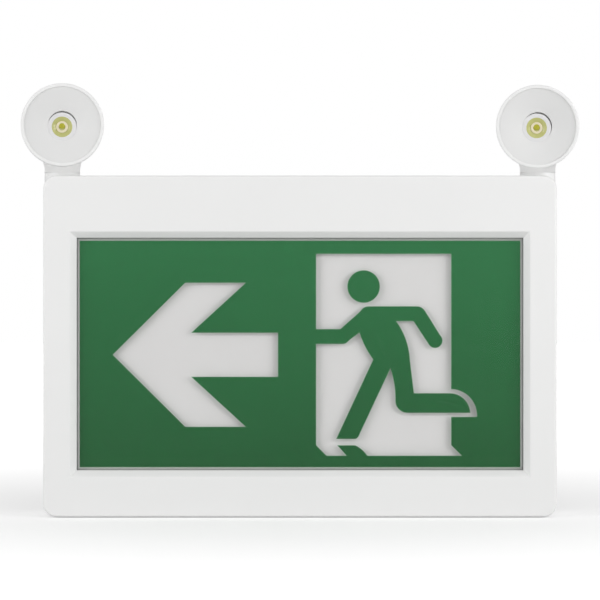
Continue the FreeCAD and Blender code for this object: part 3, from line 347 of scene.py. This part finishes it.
# Painted light: the colour is made lighter with height, as if lit more from above.
height = tree.nodes.new("ShaderNodeMapRange")
height.inputs["From Min"].default_value = -0.07
height.inputs["From Max"].default_value = 0.07
tree.links.new(place.outputs["Z"], height.inputs["Value"])
cloud_share = 0.35
ink_mottle_and_painted_light = tree.nodes.new("ShaderNodeMath")
ink_mottle_and_painted_light.operation = "MULTIPLY_ADD"
ink_mottle_and_painted_light.inputs[1].default_value = cloud_share
tree.links.new(cloud.outputs["Fac"], ink_mottle_and_painted_light.inputs[0])
tree.links.new(height.outputs["Result"], ink_mottle_and_painted_light.inputs[2])
scaled = tree.nodes.new("ShaderNodeMath")
scaled.operation = "DIVIDE"
scaled.inputs[1].default_value = 1 + cloud_share
tree.links.new(ink_mottle_and_painted_light.outputs[0], scaled.inputs[0])
ink_and_painted_light = tree.nodes.new("ShaderNodeValToRGB")
ink_and_painted_light.color_ramp.elements[0].position, ink_and_painted_light.color_ramp.elements[1].position = 0.15, 1.2 / (1 + cloud_share)
ink_and_painted_light.color_ramp.elements[0].color = (0.006, 0.112, 0.026, 1)
ink_and_painted_light.color_ramp.elements[1].color = (0.020, 0.180, 0.056, 1)
tree.links.new(scaled.outputs[0], ink_and_painted_light.inputs["Fac"])
# Painted highlight: every face but the front ones, so the cut edges, is painted pale green.
facing = tree.nodes.new("ShaderNodeNewGeometry")
split = tree.nodes.new("ShaderNodeSeparateXYZ")
tree.links.new(facing.outputs["True Normal"], split.inputs["Vector"])
edge_highlight_mask = tree.nodes.new("ShaderNodeMath")
edge_highlight_mask.operation = "GREATER_THAN"
edge_highlight_mask.inputs[1].default_value = -0.9
tree.links.new(split.outputs["Y"], edge_highlight_mask.inputs[0])
painted_edge_light = tree.nodes.new("ShaderNodeMix")
painted_edge_light.data_type = "RGBA"
face_colour, painted_edge_highlight = colours(painted_edge_light.inputs)
painted_edge_highlight.default_value = (0.26, 0.46, 0.29, 1)
tree.links.new(edge_highlight_mask.outputs[0], painted_edge_light.inputs["Factor"])
tree.links.new(ink_and_painted_light.outputs["Color"], face_colour)
tree.links.new(colours(painted_edge_light.outputs)[0], shader.inputs["Base Color"])


def dress(material, *nodes):
    """A node whose shape is already right takes its finish."""
    for node in nodes:
        for slot in frame["nodes"][node].material_slots:
            slot.material = material


film = softened("legend_print", "legend_film", green_ink, "sign", "legend_green", 0.00028, 1)
film.modifiers["edge_radius"].harden_normals = False

film_low, film_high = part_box("legend_print")
# Painted shade: a grey band in the margin stands for the opal sheet seen in shadow behind the clear sheet.
under_frame, shade_band_width = 0.0005, 0.00162
margin_loops = [
    frame_loop(window_half_width + grow, window_half_height + grow, 0.0002, window_middle, depth, 2)
    for grow, depth in ((under_frame, -film_low.y), (-shade_band_width, -film_low.y),
                        (-shade_band_width, -film_high.y), (under_frame, -film_high.y))]
painted_shade_band = moulding("painted_shade_band", (0.40, 0.42, 0.40), 0.45, grain=500, depth=0.000004, mottle=0.05)
add_piece("painted_shade_margin", stitched("painted_shade_margin", margin_loops, True), painted_shade_band, "sign", "clear_sheet")

# ---------------------------------------------------------------- diffuser
# An opal acrylic sheet 2 mm thick stands behind the film and is the white of the arrow and the doorway.

opal_acrylic = moulding("opal_acrylic", (0.71, 0.705, 0.70), 0.5, grain=700, depth=0.000004, mottle=0.006)
dress(opal_acrylic, "diffuser_panel")

# ---------------------------------------------------------------- light box
# A tray of matt white sheet mixes the light of the strips. Its flange carries the opal sheet.

tray_white = moulding("tray_white", (0.84, 0.84, 0.83), 0.62, grain=420, depth=0.00003)
dress(tray_white, "light_box")

# ---------------------------------------------------------------- LED strips
# Each strip is an aluminium-core board with white solder mask and thirteen chips in a row: a white
# ceramic case with a yellow phosphor window.

strip_mask = moulding("strip_mask", (0.82, 0.83, 0.81), 0.3, grain=600, depth=0.000005)
dress(strip_mask, "led_strip_top", "led_strip_bottom")


def node_tree_for(name, *sizes):
    """An empty geometry tree with a mesh in, a mesh out and the named inputs."""
    tree = bpy.data.node_groups.new(name, "GeometryNodeTree")
    tree.interface.new_socket("Geometry", in_out="INPUT", socket_type="NodeSocketGeometry")
    for label, kind, value in sizes:
        socket = tree.interface.new_socket(label, in_out="INPUT", socket_type=kind)
        if value is not None:
            socket.default_value = value
    tree.interface.new_socket("Geometry", in_out="OUTPUT", socket_type="NodeSocketGeometry")
    return tree, tree.nodes.new("NodeGroupInput"), tree.nodes.new("NodeGroupOutput")


def grown(tree, name, seed_points, **values):
    """The mesh that a tree makes from the seed points with the given inputs."""
    seed_mesh = bpy.data.meshes.new(name)
    seed_mesh.from_pydata(seed_points, [], [])
    seed = bpy.data.objects.new(name, seed_mesh)
    bpy.context.collection.objects.link(seed)
    modifier = seed.modifiers.new("grow", "NODES")
    modifier.node_group = tree
    for item in tree.interface.items_tree:
        if item.in_out == "INPUT" and item.name in values:
            modifier[item.identifier] = values[item.name]
    mesh = bpy.data.meshes.new_from_object(seed.evaluated_get(bpy.context.evaluated_depsgraph_get()))
    seed.modifiers.remove(modifier)
    bpy.data.objects.remove(seed)
    return mesh


row_tree, row_in, row_out = node_tree_for(
    "chip_row", ("Count", "NodeSocketInt", 13), ("Pitch", "NodeSocketFloat", 0.02),
    ("Size", "NodeSocketVector", (0.0035, 0.0028, 0.0008)), ("Finish", "NodeSocketMaterial", None))
step = row_tree.nodes.new("ShaderNodeCombineXYZ")
line = row_tree.nodes.new("GeometryNodeMeshLine")
block = row_tree.nodes.new("GeometryNodeMeshCube")
spread = row_tree.nodes.new("GeometryNodeInstanceOnPoints")
onward = row_tree.nodes.new("GeometryNodeInstanceOnPoints")
solid = row_tree.nodes.new("GeometryNodeRealizeInstances")
paint = row_tree.nodes.new("GeometryNodeSetMaterial")
row_tree.links.new(row_in.outputs["Pitch"], step.inputs["X"])
row_tree.links.new(row_in.outputs["Count"], line.inputs["Count"])
row_tree.links.new(step.outputs["Vector"], line.inputs["Offset"])
row_tree.links.new(row_in.outputs["Size"], block.inputs["Size"])
row_tree.links.new(line.outputs["Mesh"], spread.inputs["Points"])
row_tree.links.new(block.outputs["Mesh"], spread.inputs["Instance"])
row_tree.links.new(row_in.outputs["Geometry"], onward.inputs["Points"])
row_tree.links.new(spread.outputs["Instances"], onward.inputs["Instance"])
row_tree.links.new(onward.outputs["Instances"], solid.inputs["Geometry"])
row_tree.links.new(solid.outputs["Geometry"], paint.inputs["Geometry"])
row_tree.links.new(row_in.outputs["Finish"], paint.inputs["Material"])
row_tree.links.new(paint.outputs["Geometry"], row_out.inputs["Geometry"])

phosphor = moulding("phosphor", (0.83, 0.70, 0.06), 0.38, grain=2500, depth=0.000008)
case_ceramic = moulding("case_ceramic", (0.85, 0.85, 0.82), 0.45, grain=2500, depth=0.000005)
chip_count, chip_pitch, chip_length, chip_width = 13, 0.02, 0.0035, 0.0028
for strip, up in (("top", 1), ("bottom", -1)):
    low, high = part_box(f"led_chips_{strip}")
    middle = (low + high) / 2
    first = low.x + chip_length / 2
    case_mesh = grown(row_tree, "cases", [(first, middle.y, middle.z)], Count=chip_count, Pitch=chip_pitch,
                      Size=(chip_length, chip_width, 0.0007), Finish=case_ceramic)
    add_piece(f"led_cases_{strip}", case_mesh, case_ceramic, "sign", "board_white")
    window_mesh = grown(row_tree, "windows", [(first, middle.y, middle.z - up * 0.00003)],
                        Count=chip_count, Pitch=chip_pitch, Size=(0.0024, 0.0019, 0.00072), Finish=phosphor)
    add_piece(f"led_chips_{strip}", window_mesh, phosphor, "sign", "chip_yellow", f"led_chips_{strip}")

# ---------------------------------------------------------------- charger board
# A glass-epoxy board with green solder mask over its copper tracks; the same laminate makes the small
# indicator board.

solder_mask = moulding("solder_mask", (0.03, 0.2, 0.08), 0.3, grain=900, depth=0.000004, mottle=0.1)
tree = solder_mask.node_tree
tracks = tree.nodes.new("ShaderNodeTexBrick")
tracks.inputs["Scale"].default_value = 160
tracks.inputs["Mortar Size"].default_value = 0.06
tracks.inputs["Color1"].default_value = (0.028, 0.19, 0.075, 1)
tracks.inputs["Color2"].default_value = (0.022, 0.15, 0.06, 1)
tracks.inputs["Mortar"].default_value = (0.06, 0.29, 0.12, 1)
turned_over = tree.nodes.new("ShaderNodeMapping")
turned_over.inputs["Rotation"].default_value = (math.radians(90), 0, 0)
tree.links.new(tree.nodes["Texture Coordinate"].outputs["Object"], turned_over.inputs["Vector"])
tree.links.new(turned_over.outputs["Vector"], tracks.inputs["Vector"])
tree.links.new(tracks.outputs["Color"], tree.nodes["Principled BSDF"].inputs["Base Color"])
dress(solder_mask, "charger_board", "indicator_board")

# ---------------------------------------------------------------- transformer
# E and I laminations of bare silicon steel, with a winding of enamelled copper wire on its bobbin.


def plain_metal(name, colour, roughness, scale, stretch, depth=0.00001):
    """Bare or plated metal with fine lines along one direction."""
    material = bpy.data.materials.new(name)
    material.use_nodes = True
    tree = material.node_tree
    shader = tree.nodes["Principled BSDF"]
    shader.inputs["Metallic"].default_value = 1
    where = tree.nodes.new("ShaderNodeTexCoord")
    along = tree.nodes.new("ShaderNodeMapping")
    along.inputs["Scale"].default_value = stretch
    lines = tree.nodes.new("ShaderNodeTexNoise")
    lines.inputs["Scale"].default_value = scale
    lines.inputs["Detail"].default_value = 5
    tone = tree.nodes.new("ShaderNodeValToRGB")
    tone.color_ramp.elements[0].position, tone.color_ramp.elements[1].position = 0.25, 0.75
    tone.color_ramp.elements[0].color = [part * 0.86 for part in colour] + [1]
    tone.color_ramp.elements[1].color = [min(1, part * 1.08) for part in colour] + [1]
    gloss = tree.nodes.new("ShaderNodeMapRange")
    gloss.inputs["To Min"].default_value = roughness - 0.06
    gloss.inputs["To Max"].default_value = roughness + 0.1
    relief = tree.nodes.new("ShaderNodeBump")
    relief.inputs["Distance"].default_value = depth
    relief.inputs["Strength"].default_value = 0.5
    tree.links.new(where.outputs["Object"], along.inputs["Vector"])
    tree.links.new(along.outputs["Vector"], lines.inputs["Vector"])
    tree.links.new(lines.outputs["Fac"], tone.inputs["Fac"])
    tree.links.new(tone.outputs["Color"], shader.inputs["Base Color"])
    tree.links.new(lines.outputs["Fac"], gloss.inputs["Value"])
    tree.links.new(gloss.outputs["Result"], shader.inputs["Roughness"])
    tree.links.new(lines.outputs["Fac"], relief.inputs["Height"])
    tree.links.new(relief.outputs["Normal"], shader.inputs["Normal"])
    return material


lamination = plain_metal("lamination", (0.35, 0.36, 0.37), 0.42, 40, (1, 1, 60), 0.00004)
copper_wire = plain_metal("copper_wire", (0.62, 0.28, 0.12), 0.3, 30, (1, 90, 1), 0.00008)
dress(lamination, "transformer_core")
dress(copper_wire, "transformer_winding")

# ---------------------------------------------------------------- parts on the board
# A sealed relay in a black case, a four-way terminal block and three boxed film capacitors.

black_case = moulding("black_case", (0.03, 0.03, 0.032), 0.42, grain=900)
terminal_plastic = moulding("terminal_plastic", (0.04, 0.3, 0.12), 0.45, grain=900)
capacitor_dip = moulding("capacitor_dip", (0.45, 0.06, 0.03), 0.22, grain=200, depth=0.00004, mottle=0.08)
softened("transfer_relay", "relay", black_case, "sign", "component_black", 0.0004)
softened("terminal_block", "terminals", terminal_plastic, "sign", "terminal_green", 0.00025)
softened("capacitors", "film_capacitors", capacitor_dip, "sign", "capacitor_red", 0.0012, 3)

# ---------------------------------------------------------------- battery
# Five nickel cells side by side in one blue shrink sleeve, under a bent strap of zinc-plated steel.

shrink_sleeve = moulding("shrink_sleeve", (0.02, 0.12, 0.4), 0.24, grain=160, depth=0.00008, mottle=0.1)
softened("battery_pack", "battery", shrink_sleeve, "sign", "battery_sleeve", 0.0012, 3)
zinc_plate = plain_metal("zinc_plate", (0.62, 0.63, 0.62), 0.34, 90, (1, 1, 1))
softened("battery_strap", "strap", zinc_plate, "sign", "zinc_steel", 0.0002)

# ---------------------------------------------------------------- test button, switch and pilot light
# The grey button slides in the floor of the housing on a small tactile switch; beside it a red 5 mm
# light stands on its two leads.

button_plastic = moulding("button_plastic", (0.3, 0.3, 0.305), 0.42, grain=1500)
softened("test_button", "button", button_plastic, "test_key", "button_grey", 0.0003, 3)
softened("switch_plunger", "plunger", black_case, "test_key", "component_black", 0.0002)
softened("test_switch", "switch", black_case, "sign", "component_black", 0.0002)
pilot_lens = moulding("pilot_lens", (0.6, 0.03, 0.02), 0.14, grain=300, depth=0.000003)
pilot_lens.node_tree.nodes["Principled BSDF"].inputs["Coat Weight"].default_value = 0.4
softened("pilot_light", "pilot", pilot_lens, "sign", "pilot_red", 0.0003, 3)

# ---------------------------------------------------------------- hexagon-head screws
# Six like thread-forming screws of zinc-plated steel, two each for the charger board, the strap and the
# light box: a plain hexagon head on a round shank.

screw_tree, screw_in, screw_out = node_tree_for(
    "hex_screws", ("Head Radius", "NodeSocketFloat", 0.0029), ("Head Height", "NodeSocketFloat", 0.0019),
    ("Shank Radius", "NodeSocketFloat", 0.00125), ("Length", "NodeSocketFloat", 0.006),
    ("Finish", "NodeSocketMaterial", None))


def round_length(radius_name, share, length_name, corners, back):
    """A length of bar of a named radius that stands on its seat or hangs behind it."""
    bar = screw_tree.nodes.new("GeometryNodeMeshCylinder")
    bar.inputs["Vertices"].default_value = corners
    scaled = screw_tree.nodes.new("ShaderNodeMath")
    scaled.operation = "MULTIPLY"
    scaled.inputs[1].default_value = share
    screw_tree.links.new(screw_in.outputs[radius_name], scaled.inputs[0])
    screw_tree.links.new(scaled.outputs[0], bar.inputs["Radius"])
    screw_tree.links.new(screw_in.outputs[length_name], bar.inputs["Depth"])
    half = screw_tree.nodes.new("ShaderNodeMath")
    half.operation = "MULTIPLY"
    half.inputs[1].default_value = -0.5 if back else 0.5
    screw_tree.links.new(screw_in.outputs[length_name], half.inputs[0])
    lift = screw_tree.nodes.new("ShaderNodeCombineXYZ")
    screw_tree.links.new(half.outputs[0], lift.inputs["Z"])
    moved = screw_tree.nodes.new("GeometryNodeTransform")
    screw_tree.links.new(bar.outputs["Mesh"], moved.inputs["Geometry"])
    screw_tree.links.new(lift.outputs["Vector"], moved.inputs["Translation"])
    return moved.outputs["Geometry"]


joined = screw_tree.nodes.new("GeometryNodeJoinGeometry")
for part in (round_length("Head Radius", 1.0, "Head Height", 6, False),
             round_length("Shank Radius", 1.0, "Length", 16, True)):
    screw_tree.links.new(part, joined.inputs["Geometry"])
placed = screw_tree.nodes.new("GeometryNodeInstanceOnPoints")
placed.inputs["Rotation"].default_value = (math.radians(90), 0, 0)
solid = screw_tree.nodes.new("GeometryNodeRealizeInstances")
paint = screw_tree.nodes.new("GeometryNodeSetMaterial")
screw_tree.links.new(screw_in.outputs["Geometry"], placed.inputs["Points"])
screw_tree.links.new(joined.outputs["Geometry"], placed.inputs["Instance"])
screw_tree.links.new(placed.outputs["Instances"], solid.inputs["Geometry"])
screw_tree.links.new(solid.outputs["Geometry"], paint.inputs["Geometry"])
screw_tree.links.new(screw_in.outputs["Finish"], paint.inputs["Material"])
screw_tree.links.new(paint.outputs["Geometry"], screw_out.inputs["Geometry"])

board_low, board_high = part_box("charger_board")
strap_low, strap_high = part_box("battery_strap")
tray_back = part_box("light_box")[1].y
strap_middle = (strap_low.z + strap_high.z) / 2
screw_inset, strap_foot_front, tray_wall, tray_screw_reach = 0.005, -0.0072, 0.0016, 0.125
seats = [(board_low.x + screw_inset, board_low.y, board_low.z + screw_inset),
         (board_high.x - screw_inset, board_low.y, board_high.z - screw_inset),
         (strap_low.x + screw_inset, strap_foot_front, strap_middle),
         (strap_high.x - screw_inset, strap_foot_front, strap_middle),
         (-tray_screw_reach, tray_back - tray_wall, window_middle),
         (tray_screw_reach, tray_back - tray_wall, window_middle)]
add_piece("screws", grown(screw_tree, "screws", seats, Finish=zinc_plate), zinc_plate, "sign",
          "zinc_steel", "hex_screws")

# ---------------------------------------------------------------- swivel necks
# Each neck is one moulding in the housing's plastic: a flat blade on a hollow spigot that leans forward
# into two ears. A steel nut under the turret and a cross screw with its own nut set both stiffnesses.

for side in ("left", "right"):
    softened(f"{side}_swivel_neck", f"{side}_neck_arm", housing_plastic, f"{side}_neck", "housing_white",
             0.0005, 3)
    softened(f"{side}_neck_nut", f"{side}_pan_nut", zinc_plate, f"{side}_neck", "zinc_steel", 0.0002)
    softened(f"{side}_tilt_screw", f"{side}_cross_screw", zinc_plate, f"{side}_neck", "zinc_steel", 0.0003, 3)
    softened(f"{side}_tilt_nut", f"{side}_cross_nut", zinc_plate, f"{side}_neck", "zinc_steel", 0.0002)

# ---------------------------------------------------------------- lamp shells
# A shallow moulded bowl with a flat 2 mm rim. A lug on its back turns between the ears of the neck.


def turned(name, place, *profiles, segments=128):
    """Surfaces of revolution from lines of (reach, radius) points in millimetres ahead of the tilt axis."""
    work = bmesh.new()
    for profile in profiles:
        rings = []
        for reach, radius in profile:
            if radius == 0:
                rings.append([work.verts.new(place @ Vector((0, -reach / 1000, 0)))])
                continue
            turns = [2 * math.pi * at / segments for at in range(segments)]
            rings.append([work.verts.new(place @ Vector((radius / 1000 * math.cos(turn), -reach / 1000,
                                                         radius / 1000 * math.sin(turn)))) for turn in turns])
        for near, far in zip(rings, rings[1:]):
            for at in range(segments):
                after = (at + 1) % segments
                corners = [near[at % len(near)], near[after % len(near)], far[after % len(far)],
                           far[at % len(far)]]
                work.faces.new(list(dict.fromkeys(corners)))
    bmesh.ops.remove_doubles(work, verts=work.verts, dist=1e-7)
    bmesh.ops.recalc_face_normals(work, faces=work.faces)
    for face in work.faces:
        face.smooth = True
    mesh = bpy.data.meshes.new(name)
    work.to_mesh(mesh)
    work.free()
    mesh.set_sharp_from_angle(angle=math.radians(35))
    return mesh


def arc(reach, radius, size, start, end, steps=5):
    """Points of a small fillet in the half section, about its centre."""
    turns = [math.radians(start + (end - start) * step / steps) for step in range(steps + 1)]
    return [(reach + size * math.sin(turn), radius + size * math.cos(turn)) for turn in turns]


heads = {}
for joint in frame["record"]["behaviour"]["joints"]:
    if joint["name"].endswith("_tilt"):
        side = joint["name"].split("_")[0]
        heads[side] = Matrix.Translation(joint["pos_m"])
for side, pan, dip in (("left", 5.5, 0), ("right", -5.5, 4)):
    heads[side] = (heads[side] @ Matrix.Rotation(math.radians(pan), 4, "Z")
                   @ Matrix.Rotation(math.radians(dip), 4, "X"))

shell_profile = ([(4.8, 0), (4.8, 15.4)] + arc(7.4, 15.6, 2.6, 270, 301)[1:]
                 + [(6.55, 20.1), (7.85, 22.7)] + arc(10.6, 22.9, 2.1, 302, 360)
                 + [(15.8, 25.0)] + arc(15.8, 24.3, 0.7, 0, 90) + [(16.5, 23.25)]
                 + arc(16.25, 23.25, 0.25, 90, 180, 3)[1:]
                 + [(10.7, 23), (10.7, 13.6), (6.4, 13.6), (6.4, 0)])
lug_radius, lug_reach, lug_half_width = 4.2, 5.4, 0.0073
for side, place in heads.items():
    bowl = turned(f"{side}_bowl", place, shell_profile)
    work = bmesh.new()
    work.from_mesh(bowl)
    turns = [math.pi * step / 16 for step in range(16)]
    outline = [(0, -lug_radius), (lug_reach, -lug_radius), (lug_reach, lug_radius)]
    outline += [(-lug_radius * math.sin(turn), lug_radius * math.cos(turn)) for turn in turns]
    walls = [[work.verts.new(place @ Vector((across, -reach / 1000, rise / 1000))) for reach, rise in outline]
             for across in (-lug_half_width, lug_half_width)]
    lug_faces = [work.faces.new(walls[0]), work.faces.new(walls[1])]
    for at in range(len(outline)):
        after = (at + 1) % len(outline)
        lug_faces.append(work.faces.new((walls[0][at], walls[0][after], walls[1][after], walls[1][at])))
    bmesh.ops.recalc_face_normals(work, faces=lug_faces)
    for face in work.faces:
        face.smooth = True
    work.to_mesh(bowl)
    work.free()
    bowl.set_sharp_from_angle(angle=math.radians(35))
    add_piece(f"{side}_bowl", bowl, housing_plastic, f"{side}_lamp", "housing_white", f"{side}_lamp_shell")

# ---------------------------------------------------------------- lamp dishes
# A satin white cone pressed into the bowl; its edge sits just behind the rim and its hole is rounded.

dish_plastic = moulding("dish_plastic", (0.76, 0.76, 0.755), 0.42, grain=1700, depth=0.000008)
dish_profile = [(10.7, 22.97), (15.9, 22.97), (15.88, 22.8), (12.1, 9.2), (11.97, 8.8), (11.8, 8.6),
                (11.5, 8.5), (10.7, 8.5), (10.7, 22.97)]
for side, place in heads.items():
    add_piece(f"{side}_dish", turned(f"{side}_dish", place, dish_profile), dish_plastic, f"{side}_lamp",
              "dish_white", f"{side}_lamp_dish")

# ---------------------------------------------------------------- light engines
# On the floor of the bowl a pressed aluminium plate carries the star board and its emitter; a small
# moulded optic with a flange stands over it, a little off centre in the hole of the dish.

spreader = plain_metal("spreader", (0.7, 0.7, 0.7), 0.38, 60, (1, 1, 1))
for side in heads:
    dress(spreader, f"{side}_heat_sink")
    dress(strip_mask, f"{side}_emitter_board")
    dress(phosphor, f"{side}_emitter")

optic_body = moulding("optic_body", (0.50, 0.50, 0.19), 0.16, grain=330, depth=0.00006, mottle=0.25)
optic_ring = moulding("optic_ring", (0.78, 0.71, 0.50), 0.25, grain=400, depth=0.00001)
optic_flange = moulding("optic_flange", (0.76, 0.755, 0.76), 0.15, grain=300, depth=0.00002)
chip_dome = moulding("chip_dome", (0.42, 0.40, 0.03), 0.12, grain=500, depth=0.00003, mottle=0.25)
for side, slip, chip_rise in (("left", (-0.0002, -0.0010), 0.0009), ("right", (-0.0006, -0.0008), 0.0006)):
    place = heads[side] @ Matrix.Translation((slip[0], 0, slip[1]))
    flange = turned(f"{side}_flange", place,
                    [(11.85, 6.2), (11.85, 8.6), (12.0, 8.7), (12.2, 8.55), (12.3, 8.0), (12.25, 6.6),
                     (12.1, 6.1), (11.85, 6.2)], segments=96)
    add_piece(f"{side}_optic_flange", flange, optic_flange, f"{side}_lamp", "optic_clear", f"{side}_optic")
    cone = turned(f"{side}_cone", place,
                  [(10.15, 0), (10.15, 4.2), (11.6, 6.25), (12.1, 6.25), (12.2, 6.0), (11.9, 5.0),
                   (11.5, 4.1), (11.3, 3.7), (11.2, 3.5), (11.2, 0)], segments=96)
    add_piece(f"{side}_optic_cone", cone, optic_body, f"{side}_lamp", "optic_clear")
    ring = turned(f"{side}_ring", place,
                  [(11.2, 2.0), (11.2, 3.6), (11.75, 3.5), (11.95, 3.1), (11.9, 2.4), (11.6, 2.05),
                   (11.2, 2.0)], segments=96)
    add_piece(f"{side}_optic_ring", ring, optic_ring, f"{side}_lamp", "optic_clear")
    chip_place = place @ Matrix.Translation((0, 0, chip_rise))
    chip = turned(f"{side}_chip", chip_place,
                  [(11.21, 0), (11.21, 1.95), (11.5, 1.9), (11.75, 1.5), (11.9, 0.8), (11.93, 0)], segments=64)
    add_piece(f"{side}_chip_dome", chip, chip_dome, f"{side}_lamp", "chip_yellow")
